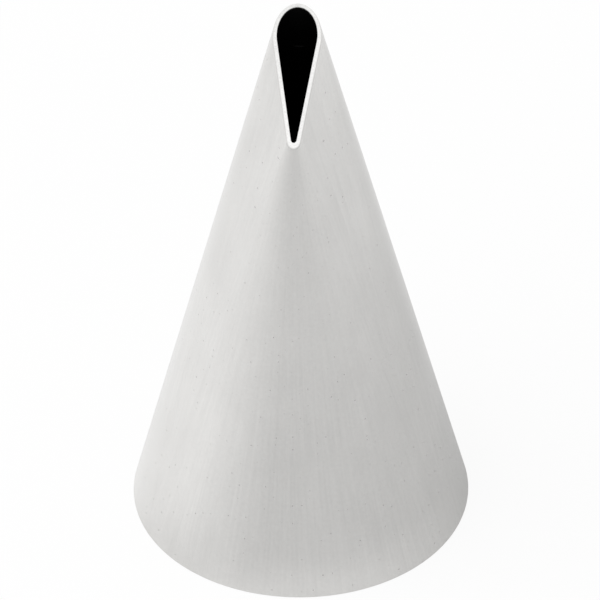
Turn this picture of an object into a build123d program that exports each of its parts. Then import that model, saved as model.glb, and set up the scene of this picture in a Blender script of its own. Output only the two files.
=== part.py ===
from build123d import *
import os
from math import asin, cos, degrees, radians

# A petal tip for piping icing: a thin sheet-metal cone on a round foot, with a slanted teardrop slot.
# Millimetres. The origin is the centre of the foot on the face it stands on, +Z is up and +Y is the
# back, where the slot's wide end and the seam are. Radii, offsets and the wall are measured level.

# The foot
base_diameter = 18.0
wall = 0.24

# The mouth: the wide end is at the back, at the full height, and the narrow end is at the front, at
# the height of the slot's lowest point. Each end's radius and offset are the slot's at that height.
full_height = 31.75
mouth_front_height = 26.90
slot_wide_radius = 0.76
slot_narrow_radius = 0.14
wide_end_back = 0.35
narrow_end_front = 3.93

# The seam down the back: a gap between the blank's edges, filled and dressed flush outside. The
# stretch of skin that it runs down reaches so many degrees to each side of it.
seam_gap = 0.30
root_bead_width = 0.60
root_bead_height = 0.08
root_bead_setback = 3.0
seam_stretch_angle = 15

# How far every cutting body runs past what it cuts
overrun = 0.5

# The skin is two cones that start from the same foot circle, one to the wide end of the slot and one
# to the narrow end, with a flat flank touching both on each side. Per millimetre of height a cone's
# centre moves along Y by its drift, and its radius shrinks by its taper.
foot_radius = base_diameter / 2
wide_drift = wide_end_back / full_height
wide_taper = (foot_radius - wall - slot_wide_radius) / full_height
narrow_drift = -narrow_end_front / mouth_front_height
narrow_taper = (foot_radius - wall - slot_narrow_radius) / mouth_front_height

# The flanks leave both cones at this angle in front of the X axis
flank_sine = (narrow_taper - wide_taper) / (wide_drift - narrow_drift)
flank_angle = degrees(asin(flank_sine))

# The mouth's slanted plane passes through the rim's highest point and the slot's lowest point
rim_top_y = wide_end_back + slot_wide_radius + wall
slot_front_y = -narrow_end_front - slot_narrow_radius
mouth_slope = (full_height - mouth_front_height) / (rim_top_y - slot_front_y)


def depth_under_mouth(point):
    """How far a point lies under the mouth's plane, along Z."""
    return full_height + mouth_slope * (point.Y - rim_top_y) - point.Z


def cone_stretch(drift, taper, inset, start_angle, end_angle):
    """One stretch of a cone's skin, moved in by the inset: its foot edge and its mouth edge.

    The foot edge is a circular arc, as a rational curve. The mouth edge is its image on the mouth's
    plane, seen from the cone's tip, so points at the same parameter of both lie in line with the tip.
    """
    radius = foot_radius - inset
    tip_height = radius / taper
    tip = Vector(0, drift * tip_height, tip_height)
    half_angle = (end_angle - start_angle) / 2
    half_cosine = cos(radians(half_angle))

    foot_points = [
        Vector(radius, 0, 0).rotate(Axis.Z, start_angle),
        Vector(radius / half_cosine, 0, 0).rotate(Axis.Z, start_angle + half_angle),
        Vector(radius, 0, 0).rotate(Axis.Z, end_angle),
    ]
    foot_weights = [1, half_cosine, 1]
    tip_depth = depth_under_mouth(tip)
    shares = [tip_depth / (tip_depth - depth_under_mouth(point)) for point in foot_points]
    mouth_points = [tip + (point - tip) * share for point, share in zip(foot_points, shares)]
    mouth_weights = [weight / share for weight, share in zip(foot_weights, shares)]
    foot_edge = Edge.make_bezier(*foot_points, weights=foot_weights)
    mouth_edge = Edge.make_bezier(*mouth_points, weights=mouth_weights)
    return foot_edge, mouth_edge


def formed_body(inset):
    """Closed body inside the outer skin moved in by the inset, from the foot to the mouth's plane."""
    wide_cone = (wide_drift, wide_taper, inset)
    narrow_cone = (narrow_drift, narrow_taper, inset)
    right_edge = 90 - seam_stretch_angle
    left_edge = 90 + seam_stretch_angle
    right_foot, right_mouth = cone_stretch(*wide_cone, -flank_angle, right_edge)
    back_foot, back_mouth = cone_stretch(*wide_cone, right_edge, left_edge)
    left_foot, left_mouth = cone_stretch(*wide_cone, left_edge, 180 + flank_angle)
    front_foot, front_mouth = cone_stretch(*narrow_cone, 180 + flank_angle, 360 - flank_angle)

    right_flank = Wire.make_polygon([right_foot @ 0, right_mouth @ 0, front_mouth @ 1], close=True)
    left_flank = Wire.make_polygon([left_foot @ 1, left_mouth @ 1, front_mouth @ 0], close=True)
    right_line = Edge.make_line(front_mouth @ 1, right_mouth @ 0)
    left_line = Edge.make_line(left_mouth @ 1, front_mouth @ 0)
    skin = [
        Face.make_surface_from_curves(right_foot, right_mouth),
        Face.make_surface_from_curves(back_foot, back_mouth),
        Face.make_surface_from_curves(left_foot, left_mouth),
        Face.make_surface_from_curves(front_foot, front_mouth),
        Face(right_flank),
        Face(left_flank),
        Face(Wire([right_foot, back_foot, left_foot, front_foot])),
        Face(Wire([right_mouth, back_mouth, left_mouth, left_line, front_mouth, right_line])),
    ]
    return Solid(Shell(skin))


def seam_slab(width, bottom):
    """Upright slab over the line of the seam, from the axis to behind the foot."""
    depth = foot_radius + overrun
    height = full_height + overrun - bottom
    return Pos(0, 0, bottom) * Box(width, depth, height, align=(Align.CENTER, Align.MIN, Align.MIN))


def bead_lining(inset):
    """The wide cone alone, as a whole round body that stops under the mouth by the bead's setback."""
    foot_circle = Edge.make_circle(foot_radius - inset)
    top_height = full_height + overrun
    top_circle = Edge.make_circle(
        foot_radius - inset - wide_taper * top_height,
        Plane(origin=(0, wide_drift * top_height, top_height)),
    )
    cone = Solid.make_loft([Wire([foot_circle]), Wire([top_circle])], ruled=True)
    bead_top = Plane(
        origin=(0, rim_top_y, full_height - root_bead_setback),
        x_dir=(1, 0, 0),
        z_dir=(0, -mouth_slope, 1),
    )
    return split(cone, bisect_by=bead_top, keep=Keep.BOTTOM)


def rolled_cone():
    """The formed sheet, open along the narrow gap between its edges at the back."""
    return formed_body(0) - formed_body(wall) - seam_slab(seam_gap, -overrun)


def seam_braze():
    """The filler in the gap, with a low root bead inside that stops short of the foot and the mouth."""
    filler = (formed_body(0) - formed_body(wall)) & seam_slab(seam_gap, -overrun)
    lining = bead_lining(wall) - bead_lining(wall + root_bead_height)
    return filler + (lining & seam_slab(root_bead_width, root_bead_setback))


os.makedirs("parts", exist_ok=True)
export_step(rolled_cone(), "parts/rolled_cone.step")
export_step(seam_braze(), "parts/seam_braze.step")
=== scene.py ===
import math

import bpy
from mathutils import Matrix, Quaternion, Vector


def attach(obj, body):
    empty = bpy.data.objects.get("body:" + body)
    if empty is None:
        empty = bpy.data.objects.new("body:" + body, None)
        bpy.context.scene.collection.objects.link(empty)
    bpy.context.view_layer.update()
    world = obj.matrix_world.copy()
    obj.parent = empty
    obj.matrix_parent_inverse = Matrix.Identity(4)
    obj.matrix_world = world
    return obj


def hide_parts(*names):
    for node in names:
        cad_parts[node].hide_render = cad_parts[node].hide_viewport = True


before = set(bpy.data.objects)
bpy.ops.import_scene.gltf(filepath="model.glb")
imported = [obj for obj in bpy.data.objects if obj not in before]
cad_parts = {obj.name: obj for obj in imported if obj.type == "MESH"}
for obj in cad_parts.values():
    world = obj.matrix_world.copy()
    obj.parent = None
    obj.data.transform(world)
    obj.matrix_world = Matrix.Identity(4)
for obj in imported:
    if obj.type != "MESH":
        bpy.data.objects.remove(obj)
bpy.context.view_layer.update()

# The formed sheet: one blank of thin stainless steel, rolled to a cone and pressed over a mandrel so
# that its front draws down to two flat flanks and a slanted teardrop slot. The rim of the slot is
# ground and polished, the foot is a plain sheared edge, and the long edges almost meet at the back.
MM = 0.001
sheet_sizes = {
    "foot radius": 9.0 * MM,
    "full height": 31.75 * MM,
    "wall": 0.24 * MM,
    "mouth front height": 26.90 * MM,
    "slot wide radius": 0.76 * MM,
    "slot narrow radius": 0.14 * MM,
    "wide end back": 0.35 * MM,
    "narrow end front": 3.93 * MM,
    "seam gap": 0.30 * MM,
    "mouth ease": 0.10 * MM,
    "foot ease": 0.03 * MM,
}

# The sheet's mesh is a section of the wall swept round from one seam edge to the other. The section's
# own depth only spaces its rows, which lie closest near the foot and near the mouth.
side_columns = 96
flank_columns = 10
front_columns = 88
seam_ease_columns = 20
wall_rows = 40
corner_steps = 5
last_mouth_corner = 1
first_foot_corner = 2
count_tolerance = 0.5
section_depth = 1.0 * MM
merge_distance = 0.0001 * MM

# Turns round the nozzle start at its right side, so the middle of the back is at a quarter turn
quarter_turn = math.radians(90)
half_turn = math.radians(180)
front_line_turn = math.radians(270)

# The steel's finish: its colours, how dull each part is, and how wide each pattern is. The inner
# skin starts at a share of the wall's thickness.
steel_colour = (0.766, 0.759, 0.745, 1.0)
# The rim's lighter colour is partly the polished lip's own and partly a painted highlight
rim_polish_and_highlight_colour = (0.85, 0.845, 0.835, 1.0)
inside_colour = (0.46, 0.455, 0.445, 1.0)
# Towards the slot the inner skin is painted shade, nearly black, between these heights
slot_painted_shade_colour = (0.01, 0.01, 0.01, 1.0)
painted_shade_from = 5.0 * MM
painted_shade_to = 17.0 * MM
inside_from = 0.6
inside_full = 0.9
pit_colour = (0.56, 0.55, 0.54, 1.0)
sheet_roughness = 0.235
rim_roughness = 0.24
inside_roughness = 0.55
grain_width = 0.12 * MM
grain_detail = 3.0
grain_stretch = 0.03
blotch_width = 3.5 * MM
streak_width = 0.5 * MM
mottle_width = 0.16 * MM
pit_spacing = 0.55 * MM
pit_radius = 0.052 * MM
pit_chance = 0.4
pit_edge = 0.4
rim_depth = 0.035 * MM
rim_full_depth = 0.014 * MM
rim_wander = 0.03 * MM
burr_width = 0.09 * MM
# The rim's painted highlight rises from the back to the front between these places
rim_front = -2.0 * MM
rim_back = 1.0 * MM

# How strongly each pattern changes the steel's shade, its roughness and its relief
grain_shade = 0.12
streak_shade = 0.08
mottle_shade = 0.11
blotch_shade = 0.12
burr_shade = 0.4
rim_front_painted_highlight = 0.10
grain_dulling = 0.03
blotch_dulling = 0.03
pit_dulling = 0.2
grain_relief = 0.002 * MM
grain_relief_strength = 0.5
pit_relief_share = 2

# The mix node's colour sockets, which share their names with others, and the middle of noise
first_colour_input = 6
second_colour_input = 7
mixed_colour_output = 2
noise_middle = 0.5


class Field:
    """A number that a node tree works out at each point, so that formulas can be written plainly."""

    def __init__(self, tree, socket):
        self.tree = tree
        self.socket = socket

    def operate(self, operation, *values):
        node = self.tree.nodes.new("ShaderNodeMath")
        node.operation = operation
        for place, value in zip(node.inputs, values):
            plug(self.tree, value, place)
        return Field(self.tree, node.outputs[0])

    def __add__(self, other):
        return self.operate("ADD", self, other)

    def __radd__(self, other):
        return self.operate("ADD", other, self)

    def __sub__(self, other):
        return self.operate("SUBTRACT", self, other)

    def __rsub__(self, other):
        return self.operate("SUBTRACT", other, self)

    def __mul__(self, other):
        return self.operate("MULTIPLY", self, other)

    def __rmul__(self, other):
        return self.operate("MULTIPLY", other, self)

    def __truediv__(self, other):
        return self.operate("DIVIDE", self, other)

    def share_between(self, low, high):
        """0 at and below the low value, 1 at and above the high value, and a straight run between."""
        node = self.tree.nodes.new("ShaderNodeMapRange")
        plug(self.tree, self, node.inputs["Value"])
        plug(self.tree, low, node.inputs["From Min"])
        plug(self.tree, high, node.inputs["From Max"])
        return Field(self.tree, node.outputs["Result"])


def plug(tree, value, socket):
    """Links a field or a socket into a socket, or writes a plain value on it."""
    if isinstance(value, Field):
        value = value.socket
    if isinstance(value, bpy.types.NodeSocket):
        tree.links.new(value, socket)
    else:
        socket.default_value = value


def step(tree, kind, settings=None, **inputs):
    """Adds a node, with its settings and its inputs by name, and gives the node."""
    node = tree.nodes.new(kind)
    for name, value in (settings or {}).items():
        setattr(node, name, value)
    for name, value in inputs.items():
        plug(tree, value, node.inputs[name.replace("_", " ")])
    return node


def new_material(name):
    """A material with a shader, the shader's tree and the shader."""
    material = bpy.data.materials.new(name)
    material.use_nodes = True
    tree = material.node_tree
    return material, tree, tree.nodes["Principled BSDF"]


def kept_value(tree, name):
    """A named value that the piece's mesh carries."""
    node = step(tree, "ShaderNodeAttribute", {"attribute_name": name})
    return Field(tree, node.outputs["Fac"])


def surface_place(tree):
    """The place of a surface point in the piece, as a vector and as its three numbers."""
    place = step(tree, "ShaderNodeTexCoord").outputs["Object"]
    split = step(tree, "ShaderNodeSeparateXYZ", Vector=place)
    return place, [Field(tree, output) for output in split.outputs]


def noise(tree, vector, width, detail=2.0):
    """Smooth noise of about the given width in metres, from -0.5 to 0.5."""
    node = step(tree, "ShaderNodeTexNoise", Vector=vector, Scale=1 / width, Detail=detail)
    return Field(tree, node.outputs[0]) - noise_middle


def mixed(tree, share, first, second):
    """A colour between two colours."""
    node = step(tree, "ShaderNodeMix", {"data_type": "RGBA"}, Factor=share)
    plug(tree, first, node.inputs[first_colour_input])
    plug(tree, second, node.inputs[second_colour_input])
    return node.outputs[mixed_colour_output]


def mouth_plane(size):
    """The slope of the mouth's plane and its height over the foot's centre."""
    rim_top_y = size["wide end back"] + size["slot wide radius"] + size["wall"]
    slot_front_y = 0 - size["narrow end front"] - size["slot narrow radius"]
    slope = (size["full height"] - size["mouth front height"]) / (rim_top_y - slot_front_y)
    return slope, size["full height"] - slope * rim_top_y


def polished_rim(tree, place, y, z):
    """1 on the ground rim of the slot and 0 below it, and the uneven burr that the grinding leaves."""
    slope, mouth_height = mouth_plane(sheet_sizes)
    burr = noise(tree, place, burr_width)
    depth = y * slope + mouth_height - z + burr * rim_wander
    return 1 - depth.share_between(rim_full_depth, rim_depth), burr


def inner_skin(tree, rim):
    """1 on the piece's inner side, up to the rim, and 0 outside."""
    return kept_value(tree, "inset").share_between(inside_from, inside_full) * (1 - rim)


def inner_skin_painted_shade_colour(tree, z):
    """Dull grey as far up as light comes in at the foot, and painted shade, nearly black, towards the
    slot.
    """
    painted_shade_share = z.share_between(painted_shade_from, painted_shade_to)
    return mixed(tree, painted_shade_share, inside_colour, slot_painted_shade_colour)


def scattered_pits(tree, z):
    """1 in small pits of many sizes, spread over the skin as if it lay flat, and 0 between them."""
    flat = step(tree, "ShaderNodeCombineXYZ", X=kept_value(tree, "across"), Y=z)
    cell = step(
        tree, "ShaderNodeTexVoronoi", {"voronoi_dimensions": "2D"},
        Vector=flat.outputs[0], Scale=1 / pit_spacing)
    chance = step(tree, "ShaderNodeSeparateXYZ", Vector=cell.outputs["Color"])
    size = Field(tree, chance.outputs[0]).share_between(1 - pit_chance, 1)
    off_pit = Field(tree, cell.outputs["Distance"]) * pit_spacing / pit_radius
    return (size - off_pit).share_between(0, pit_edge)


def satin_steel():
    """Satin stainless steel: an even sheen with lines down the sheet, a faint mottle and small pits."""
    material, tree, shader = new_material("satin_steel")
    place, (_, y, z) = surface_place(tree)
    rim, burr = polished_rim(tree, place, y, z)
    inside = inner_skin(tree, rim)

    along = step(tree, "ShaderNodeCombineXYZ", X=kept_value(tree, "lane"), Y=z * grain_stretch)
    grain = noise(tree, along.outputs[0], grain_width, grain_detail)
    streak = noise(tree, along.outputs[0], streak_width)
    blotch = noise(tree, place, blotch_width)
    mottle = noise(tree, place, mottle_width)
    pit = scattered_pits(tree, z) * (1 - rim) * (1 - inside)

    # The rim's lighter colour is partly its polish and partly a painted highlight
    colour = mixed(tree, rim, steel_colour, rim_polish_and_highlight_colour)
    # Painted shade: the inner skin runs to nearly black towards the slot
    colour = mixed(tree, inside, colour, inner_skin_painted_shade_colour(tree, z))
    colour = mixed(tree, pit, colour, pit_colour)
    # Painted highlight: the rim's colour is made brighter towards the front
    front_highlight_share = 1 - y.share_between(rim_front, rim_back)
    shade = 1 + grain * grain_shade + streak * streak_shade
    shade = shade + mottle * mottle_shade + blotch * blotch_shade
    shade = shade + rim * (burr * burr_shade + front_highlight_share * rim_front_painted_highlight)
    shaded = step(tree, "ShaderNodeVectorMath", {"operation": "SCALE"}, Scale=shade)
    plug(tree, colour, shaded.inputs[0])
    plug(tree, shaded.outputs[0], shader.inputs["Base Color"])

    roughness = sheet_roughness + grain * grain_dulling + blotch * blotch_dulling + pit * pit_dulling
    roughness = roughness + rim * (rim_roughness - sheet_roughness)
    roughness = roughness + inside * (inside_roughness - sheet_roughness)
    plug(tree, roughness, shader.inputs["Roughness"])

    bump = step(
        tree, "ShaderNodeBump", Strength=grain_relief_strength, Distance=grain_relief,
        Height=grain - pit * pit_relief_share)
    plug(tree, bump.outputs[0], shader.inputs["Normal"])
    shader.inputs["Metallic"].default_value = 1.0
    return material


def captured(tree, curve, kind, source):
    """Keeps a value of a curve's points, so that the mesh swept from the curve still carries it."""
    node = tree.nodes.new("GeometryNodeCaptureAttribute")
    node.capture_items.new(kind, "kept")
    tree.links.new(curve, node.inputs[0])
    tree.links.new(source, node.inputs[1])
    return node.outputs[0], node.outputs[1]


def shape_tree(name, sizes):
    """A new tree with a geometry output and a named number input for each size, given as fields."""
    tree = bpy.data.node_groups.new(name, "GeometryNodeTree")
    tree.interface.new_socket("Geometry", in_out="OUTPUT", socket_type="NodeSocketGeometry")
    for size_name in sizes:
        tree.interface.new_socket(size_name, in_out="INPUT", socket_type="NodeSocketFloat")
    entry = tree.nodes.new("NodeGroupInput")
    return tree, {size_name: Field(tree, entry.outputs[size_name]) for size_name in sizes}


def swept_wall(tree, columns, thickness, mouth_ease, foot_ease):
    """A swept bar whose mesh carries the share along its path and the place in its eased section."""
    path = step(tree, "GeometryNodeCurvePrimitiveLine")
    path = step(tree, "GeometryNodeResampleCurve", Curve=path.outputs[0], Count=columns + 1)
    along = step(tree, "GeometryNodeSplineParameter").outputs["Factor"]
    path, share = captured(tree, path.outputs[0], "FLOAT", along)

    corners = step(
        tree, "GeometryNodeCurvePrimitiveQuadrilateral", Width=thickness, Height=section_depth)
    index = Field(tree, step(tree, "GeometryNodeInputIndex").outputs[0])
    at_foot = index.share_between(last_mouth_corner, first_foot_corner)
    radius = mouth_ease + at_foot * (foot_ease - mouth_ease)
    section = step(
        tree, "GeometryNodeFilletCurve", {"mode": "POLY"},
        Curve=corners.outputs[0], Radius=radius, Count=corner_steps)
    place_in_turn = index.operate("MODULO", index + 1, 2 * (corner_steps + 1))
    starts_side = index.operate("COMPARE", place_in_turn, 0, count_tolerance)
    section = step(
        tree, "GeometryNodeSubdivideCurve", Curve=section.outputs[0], Cuts=starts_side * wall_rows)
    position = step(tree, "GeometryNodeInputPosition").outputs[0]
    section, place = captured(tree, section.outputs[0], "VECTOR", position)
    swept = step(tree, "GeometryNodeCurveToMesh", Curve=path, Profile_Curve=section, Fill_Caps=True)
    split = step(tree, "ShaderNodeSeparateXYZ", Vector=place)
    inset = Field(tree, split.outputs[0]) + thickness / 2
    row_depth = Field(tree, split.outputs[1]) + section_depth / 2
    return swept.outputs[0], Field(tree, share), inset, row_depth


def cone_rules(size):
    """How far each cone's centre moves back, and how much its radius shrinks, per height."""
    inner_radius = size["foot radius"] - size["wall"]
    wide_drift = size["wide end back"] / size["full height"]
    wide_taper = (inner_radius - size["slot wide radius"]) / size["full height"]
    narrow_drift = 0 - size["narrow end front"] / size["mouth front height"]
    narrow_taper = (inner_radius - size["slot narrow radius"]) / size["mouth front height"]
    return wide_drift, wide_taper, narrow_drift, narrow_taper


def sheet_points(size, angle, narrow_share, inset, row_depth, slide, margin=0):
    """Places on the formed sheet, and the turn round it, from the angle, depth into the wall and row.

    Two cones share the foot circle, a wide one round the back and sides and a narrow one in front,
    and a flat flank on each side runs from one to the other. Rows near the foot keep their height
    over it, rows near the mouth keep their depth under it, and the rest share out what is between.
    The slide moves a point level along the skin, and the margin keeps the ends off foot and mouth.
    """
    wide_drift, wide_taper, narrow_drift, narrow_taper = cone_rules(size)
    drift = wide_drift + (narrow_drift - wide_drift) * narrow_share
    taper = wide_taper + (narrow_taper - wide_taper) * narrow_share
    slope, mouth_height = mouth_plane(size)
    skin_radius = size["foot radius"] - inset
    upper_share = row_depth.share_between(size["mouth ease"], section_depth - 2 * size["mouth ease"])

    def height_at(turn):
        sine = turn.operate("SINE", turn)
        mouth = (mouth_height + slope * skin_radius * sine) / (1 - slope * (drift - taper * sine))
        return margin + row_depth + (mouth - 2 * margin - section_depth) * upper_share

    level_radius = skin_radius - taper * height_at(angle)
    turned = angle + slide.operate("ARCSINE", slide / level_radius)
    height = height_at(turned)
    radius = skin_radius - taper * height
    x = radius * turned.operate("COSINE", turned)
    y = drift * height + radius * turned.operate("SINE", turned)
    return (x, y, height), turned


def shaped(tree, mesh, point, kept):
    """Moves a mesh to its points, closes it, shades it smooth and keeps named values on it."""
    for name, value in kept.items():
        store = step(
            tree, "GeometryNodeStoreNamedAttribute", {"data_type": "FLOAT", "domain": "POINT"},
            Geometry=mesh, Name=name, Value=value)
        mesh = store.outputs[0]
    x, y, z = point
    target = step(tree, "ShaderNodeCombineXYZ", X=x, Y=y, Z=z)
    mesh = step(tree, "GeometryNodeSetPosition", Geometry=mesh, Position=target.outputs[0])
    mesh = step(tree, "GeometryNodeMergeByDistance", Geometry=mesh.outputs[0], Distance=merge_distance)
    mesh = step(tree, "GeometryNodeSetShadeSmooth", Geometry=mesh.outputs[0], Shade_Smooth=True)
    return mesh.outputs[0]


def finish_tree(tree, mesh, material):
    """Ends the tree: the mesh is made real and gets its material."""
    mesh = step(tree, "GeometryNodeRealizeInstances", Geometry=mesh)
    mesh = step(tree, "GeometryNodeSetMaterial", Geometry=mesh.outputs[0], Material=material)
    end = tree.nodes.new("NodeGroupOutput")
    tree.links.new(mesh.outputs[0], end.inputs["Geometry"])


def baked(name, tree, sizes):
    """An object whose plain mesh is what the tree makes of the sizes."""
    piece = bpy.data.objects.new(name, bpy.data.meshes.new(name))
    bpy.context.collection.objects.link(piece)
    maker = piece.modifiers.new("shape", "NODES")
    maker.node_group = tree
    for socket in tree.interface.items_tree:
        if socket.in_out == "INPUT":
            maker[socket.identifier] = sizes[socket.name]
    scene_state = bpy.context.evaluated_depsgraph_get()
    mesh = bpy.data.meshes.new_from_object(
        piece.evaluated_get(scene_state), preserve_all_data_layers=True, depsgraph=scene_state)
    piece.modifiers.clear()
    piece.data = mesh
    mesh.name = name
    return piece


def formed_sheet_tree(material, sizes):
    """Builds the sheet round from one edge of the seam to the other, over both flanks."""
    tree, size = shape_tree("formed_sheet", sizes)
    columns = 2 * (side_columns + flank_columns) + front_columns
    mesh, share, inset, row_depth = swept_wall(
        tree, columns, size["wall"], size["mouth ease"], size["foot ease"])

    wide_drift, wide_taper, narrow_drift, narrow_taper = cone_rules(size)
    flank_sine = (narrow_taper - wide_taper) / (wide_drift - narrow_drift)
    flank_turn = flank_sine.operate("ARCSINE", flank_sine)
    flank_start = side_columns / columns
    flank_end = (side_columns + flank_columns) / columns
    first_side = share.share_between(0, flank_start)
    front = share.share_between(flank_end, 1 - flank_end)
    last_side = share.share_between(1 - flank_start, 1)
    side_turn = quarter_turn + flank_turn
    front_turn = half_turn - 2 * flank_turn
    angle = quarter_turn + side_turn * (first_side + last_side) + front_turn * front
    narrow_share = share.share_between(flank_start, flank_end)
    narrow_share = narrow_share - share.share_between(1 - flank_end, 1 - flank_start)

    eased_share = seam_ease_columns / columns
    off_seam = share.share_between(0, eased_share) + share.share_between(1 - eased_share, 1)
    slide = size["seam gap"] / 2 * (1 - off_seam)
    point, turned = sheet_points(size, angle, narrow_share, inset, row_depth, slide)

    # How far round from the front line a point lies: along the foot, and level at its own height
    x, y, z = point
    from_front = turned - front_line_turn
    side_sign = from_front.operate("SIGN", from_front)
    drift_step = (wide_drift - narrow_drift) * (1 - narrow_share) * side_sign
    off_axis = y - z * wide_drift
    level_radius = x.operate("SQRT", x * x + off_axis * off_axis)
    lane = from_front * size["foot radius"] + drift_step * size["full height"] / 2
    across = from_front * level_radius + drift_step * z
    kept = {"inset": inset / size["wall"], "lane": lane, "across": across}
    mesh = shaped(tree, mesh, point, kept)
    finish_tree(tree, mesh, material)
    return tree


cone = baked("formed_cone", formed_sheet_tree(satin_steel(), sheet_sizes), sheet_sizes)
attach(cone, "root")
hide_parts("rolled_cone")

# The seam's filler: silver braze run into the gap between the sheet's edges at the back, then dressed
# flush outside, where it shows as one thin line of another grey. Inside, the braze has sagged through
# into a low rippled root bead that stops short of the foot and of the mouth.
seam_sizes = {
    **sheet_sizes,
    "bead width": 0.60 * MM,
    "bead height": 0.08 * MM,
    "bead margin": 3.0 * MM,
    "dressing dip": 0.012 * MM,
}
filler_columns = 12
bead_columns = 10
bead_ease_share = 0.3
bead_edge_drop = 0.8
filler_colour = (0.64, 0.635, 0.61, 1.0)
filler_edge_colour = (0.40, 0.40, 0.39, 1.0)
filler_edge_from = 0.72
filler_roughness = 0.46
filing_width = 0.04 * MM
filing_shade = 0.2
filing_dulling = 0.1
filing_relief_share = 0.3
ripple_length = 0.35 * MM
ripple_wander_width = 0.70 * MM
ripple_shade = 0.12
cast_skin_dulling = 0.1
filler_relief = 0.006 * MM
filler_relief_strength = 0.6


def dressed_braze():
    """Silver braze: greyer and duller than the sheet, filed along the seam, with rippled cast skin."""
    material, tree, shader = new_material("seam_filler")
    place, (x, y, z) = surface_place(tree)
    rim, burr = polished_rim(tree, place, y, z)
    inside = inner_skin(tree, rim)
    off_middle = x.operate("ABSOLUTE", x) / (seam_sizes["seam gap"] / 2)
    edge = off_middle.share_between(filler_edge_from, 1) * (1 - inside) * (1 - rim)

    along = step(tree, "ShaderNodeCombineXYZ", X=x, Y=z * grain_stretch)
    filing = noise(tree, along.outputs[0], filing_width, grain_detail)
    wander = noise(tree, place, ripple_wander_width)
    ripple = (z / ripple_length + wander) * math.tau
    ripple = ripple.operate("SINE", ripple)

    # The rim's lighter colour is partly its polish and partly a painted highlight, as on the sheet
    colour = mixed(tree, rim, filler_colour, rim_polish_and_highlight_colour)
    colour = mixed(tree, edge, colour, filler_edge_colour)
    # Painted shade: the inner skin runs to nearly black towards the slot
    colour = mixed(tree, inside, colour, inner_skin_painted_shade_colour(tree, z))
    shade = 1 + filing * filing_shade + wander * ripple_shade + rim * burr * burr_shade
    shaded = step(tree, "ShaderNodeVectorMath", {"operation": "SCALE"}, Scale=shade)
    plug(tree, colour, shaded.inputs[0])
    plug(tree, shaded.outputs[0], shader.inputs["Base Color"])
    roughness = filler_roughness + filing * filing_dulling + inside * cast_skin_dulling
    plug(tree, roughness, shader.inputs["Roughness"])
    relief = filing * filing_relief_share * (1 - inside) + ripple * inside
    bump = step(
        tree, "ShaderNodeBump", Strength=filler_relief_strength, Distance=filler_relief,
        Height=relief)
    plug(tree, bump.outputs[0], shader.inputs["Normal"])
    shader.inputs["Metallic"].default_value = 1.0
    return material


def seam_filler_tree(material, sizes):
    """Builds the filler as thick as the wall, and the root bead on its inner face."""
    tree, size = shape_tree("seam_filler", sizes)
    back = Field(tree, step(tree, "ShaderNodeValue").outputs[0])
    back.socket.default_value = quarter_turn

    filler, share, inset, row_depth = swept_wall(
        tree, filler_columns, size["wall"], size["mouth ease"], size["foot ease"])
    off_middle = share * 2 - 1
    outer_share = 1 - inset / size["wall"]
    sunk = inset + size["dressing dip"] * off_middle * off_middle * outer_share
    slide = size["seam gap"] / 2 * off_middle
    point, _ = sheet_points(size, back, 0, sunk, row_depth, slide)
    filler = shaped(tree, filler, point, {"inset": inset / size["wall"]})

    ease = size["bead height"] * bead_ease_share
    bead, share, depth, row_depth = swept_wall(tree, bead_columns, size["bead height"], ease, ease)
    off_middle = share * 2 - 1
    crown = 1 - bead_edge_drop * off_middle * off_middle
    depth_in = size["wall"] + depth * crown
    slide = size["bead width"] / 2 * off_middle
    point, _ = sheet_points(size, back, 0, depth_in, row_depth, slide, size["bead margin"])
    bead = shaped(tree, bead, point, {"inset": 1})

    both = tree.nodes.new("GeometryNodeJoinGeometry")
    tree.links.new(bead, both.inputs[0])
    tree.links.new(filler, both.inputs[0])
    finish_tree(tree, both.outputs[0], material)
    return tree


filler = baked("seam_filler", seam_filler_tree(dressed_braze(), seam_sizes), seam_sizes)
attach(filler, "root")
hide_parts("seam_braze")

# The stage: a level sheet of pale paper that looks white to the camera and keeps a faint shadow, lit
# by a large softbox on the left and by an even white room. The metal mirrors the paper and the room,
# not the softbox. There both run from white to pale grey, which gives the steel its soft shading; on
# the paper this grey is painted shade, and by the foot a painted pool of light, seen only in the metal.
sweep_half_width = 1000 * MM
paper_colour = (0.95, 0.95, 0.95, 1.0)

# The paper in the metal, whose colour there is painted shade. Near the nozzle it is white towards the
# bright side, and further out it is white towards the bright end. The foot's glow is a painted pool of
# light, a paler patch just in front of the foot.
painted_shade_paper_share = 0.636
bright_side = math.radians(-121)
toned_from = -0.284
bright_from = 0.701
tone_near = 25 * MM
tone_far = 89 * MM
bright_end = math.radians(157)
dim_from = -120 * MM
light_from = 57 * MM
painted_foot_glow_share = 0.68
painted_glow_end = 15 * MM
painted_glow_rise = 8 * MM
under_foot_share = 0.99

# The room in the metal. Low down it is white towards its bright side and pale grey away from it, and
# high up it is white all round. Where low ends and high starts are heights on a sphere of radius 1.
toned_room_share = 0.66
room_bright_side = math.radians(-150)
room_dim_from = -0.9
room_light_from = 0.9
room_low_end = 0.27
room_high_from = 0.45

# How far the paper is plain white to the camera and to the metal, and how the object is lit
white_for_camera = 0.88
white_for_gloss = 0.20
fill_strength = 0.675
key_azimuth = math.radians(-70)
key_elevation = math.radians(39)
key_distance = 507 * MM
key_width = 850 * MM
key_radiance = 1.15


def direction_of(azimuth, elevation):
    """A direction from the nozzle: the azimuth runs from the front to the right."""
    level = math.cos(elevation)
    return Vector((math.sin(azimuth) * level, -math.cos(azimuth) * level, math.sin(elevation)))


def along_direction(tree, vector, azimuth):
    """How far a vector reaches in a level direction."""
    reach = step(tree, "ShaderNodeVectorMath", {"operation": "DOT_PRODUCT"})
    tree.links.new(vector, reach.inputs[0])
    reach.inputs[1].default_value = direction_of(azimuth, 0)
    return Field(tree, reach.outputs["Value"])


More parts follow.
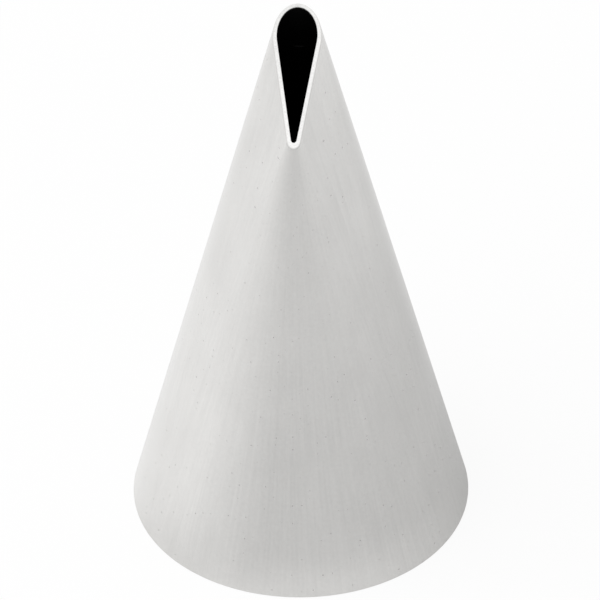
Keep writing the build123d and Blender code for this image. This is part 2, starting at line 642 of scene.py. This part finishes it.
def white_sweep():
    """Pale paper that looks white to the camera, keeps a shadow and shades off in the metal: painted
    shade.
    """
    material, tree, shader = new_material("white_sweep")
    place, (_, y, _) = surface_place(tree)
    ray = step(tree, "ShaderNodeLightPath")
    camera_ray = Field(tree, ray.outputs["Is Camera Ray"])
    glossy_ray = Field(tree, ray.outputs["Is Glossy Ray"])
    clear_ray = Field(tree, ray.outputs["Is Transmission Ray"])
    foot_radius = sheet_sizes["foot radius"]
    off_middle = step(tree, "ShaderNodeVectorMath", {"operation": "LENGTH"})
    tree.links.new(place, off_middle.inputs[0])
    off_middle = Field(tree, off_middle.outputs["Value"])
    outside = off_middle.share_between(under_foot_share * foot_radius, foot_radius)
    white_share = camera_ray * white_for_camera + (glossy_ray + clear_ray) * white_for_gloss
    white_share = white_share * outside

    way_out = step(tree, "ShaderNodeVectorMath", {"operation": "NORMALIZE"})
    tree.links.new(place, way_out.inputs[0])
    # Painted shade: the paper's colour, as the metal mirrors it, darkens away from the bright side and
    # end
    lit_share = along_direction(tree, way_out.outputs[0], bright_side)
    lit_share = lit_share.share_between(toned_from, bright_from)
    far_lit_share = along_direction(tree, place, bright_end).share_between(dim_from, light_from)
    far_share = off_middle.share_between(tone_near, tone_far)
    lit_share = lit_share + (far_lit_share - lit_share) * far_share
    # Painted light: a paler patch of paper just in front of the foot, seen in the metal
    painted_glow_mask = 1 - off_middle.share_between(foot_radius, painted_glow_end)
    painted_glow_mask = painted_glow_mask * (0 - y).share_between(0, painted_glow_rise)
    lit_share = lit_share + (painted_foot_glow_share - lit_share) * painted_glow_mask
    tone = 1 - (1 - lit_share) * (1 - painted_shade_paper_share) * glossy_ray
    paper = step(tree, "ShaderNodeVectorMath", {"operation": "SCALE"}, Scale=tone)
    paper.inputs[0].default_value = paper_colour[:3]
    lit = step(tree, "ShaderNodeBsdfDiffuse", Color=paper.outputs[0])
    white = step(tree, "ShaderNodeEmission", Strength=1.0)
    surface = step(tree, "ShaderNodeMixShader", Fac=white_share)
    tree.links.new(lit.outputs[0], surface.inputs[1])
    tree.links.new(white.outputs[0], surface.inputs[2])
    tree.links.new(surface.outputs[0], tree.nodes["Material Output"].inputs["Surface"])
    tree.nodes.remove(shader)
    return material


def white_room():
    """A white room that lights the nozzle evenly, and shades off low down in the metal."""
    room = bpy.data.worlds.new("room")
    room.use_nodes = True
    tree = room.node_tree
    ray = step(tree, "ShaderNodeLightPath")
    glossy_ray = Field(tree, ray.outputs["Is Glossy Ray"])
    seen = Field(tree, ray.outputs["Is Camera Ray"]) + glossy_ray
    seen = seen + Field(tree, ray.outputs["Is Transmission Ray"])

    way_out = step(tree, "ShaderNodeTexCoord").outputs["Generated"]
    rise = Field(tree, step(tree, "ShaderNodeSeparateXYZ", Vector=way_out).outputs["Z"])
    lit_share = along_direction(tree, way_out, room_bright_side)
    lit_share = lit_share.share_between(room_dim_from, room_light_from)
    low_share = 1 - rise.share_between(room_low_end, room_high_from)
    tone = 1 - (1 - lit_share) * (1 - toned_room_share) * low_share * glossy_ray
    strength = (fill_strength + seen * (1 - fill_strength)) * tone
    background = tree.nodes["Background"]
    background.inputs["Color"].default_value = (1, 1, 1, 1)
    plug(tree, strength, background.inputs["Strength"])
    return room


floor_mesh = bpy.data.meshes.new("floor")
floor_corners = [(-1, -1), (1, -1), (1, 1), (-1, 1)]
floor_points = [(x * sweep_half_width, y * sweep_half_width, 0) for x, y in floor_corners]
floor_mesh.from_pydata(floor_points, [], [(0, 1, 2, 3)])
floor_mesh.materials.append(white_sweep())
floor = bpy.data.objects.new("floor", floor_mesh)
bpy.context.collection.objects.link(floor)

scene = bpy.context.scene
scene.view_settings.view_transform = "Standard"
scene.world = white_room()

key_light = bpy.data.lights.new("key_softbox", "AREA")
key_light.shape = "SQUARE"
key_light.size = key_width
key_light.energy = key_radiance * math.pi * key_width ** 2
key = bpy.data.objects.new("key_softbox", key_light)
key.location = direction_of(key_azimuth, key_elevation) * key_distance
key.rotation_mode = "QUATERNION"
key.rotation_quaternion = direction_of(key_azimuth, key_elevation).to_track_quat("Z", "Y")
key.visible_camera = False
key.visible_glossy = False
bpy.context.collection.objects.link(key)

# The camera: it stands where the photograph was taken from, in front of the nozzle and a little to
# the right, looking down on it. It is aimed so that the nozzle fills the frame as it does there.
photo_width = 600
pixels_per_mm = 18.97
camera_azimuth = math.radians(3.107)
camera_elevation = math.radians(39.11)
camera_roll = math.radians(-0.497)
camera_distance = 475 * MM
measured_from = Vector((0, 0, 15 * MM))
aimed_at = Vector((0.037 * MM, 0, 13.014 * MM))
sensor_width = 36
nearest_seen = 10 * MM
lens = bpy.data.cameras.new("camera")
lens.sensor_width = sensor_width
lens.lens = pixels_per_mm / MM * camera_distance * sensor_width / photo_width
lens.clip_start = nearest_seen
camera = bpy.data.objects.new("camera", lens)
camera.location = measured_from + camera_distance * direction_of(camera_azimuth, camera_elevation)
camera.rotation_mode = "QUATERNION"
camera.rotation_quaternion = (aimed_at - camera.location).to_track_quat("-Z", "Y") @ Quaternion(
    (0, 0, 1), camera_roll)
bpy.context.collection.objects.link(camera)
scene.camera = camera
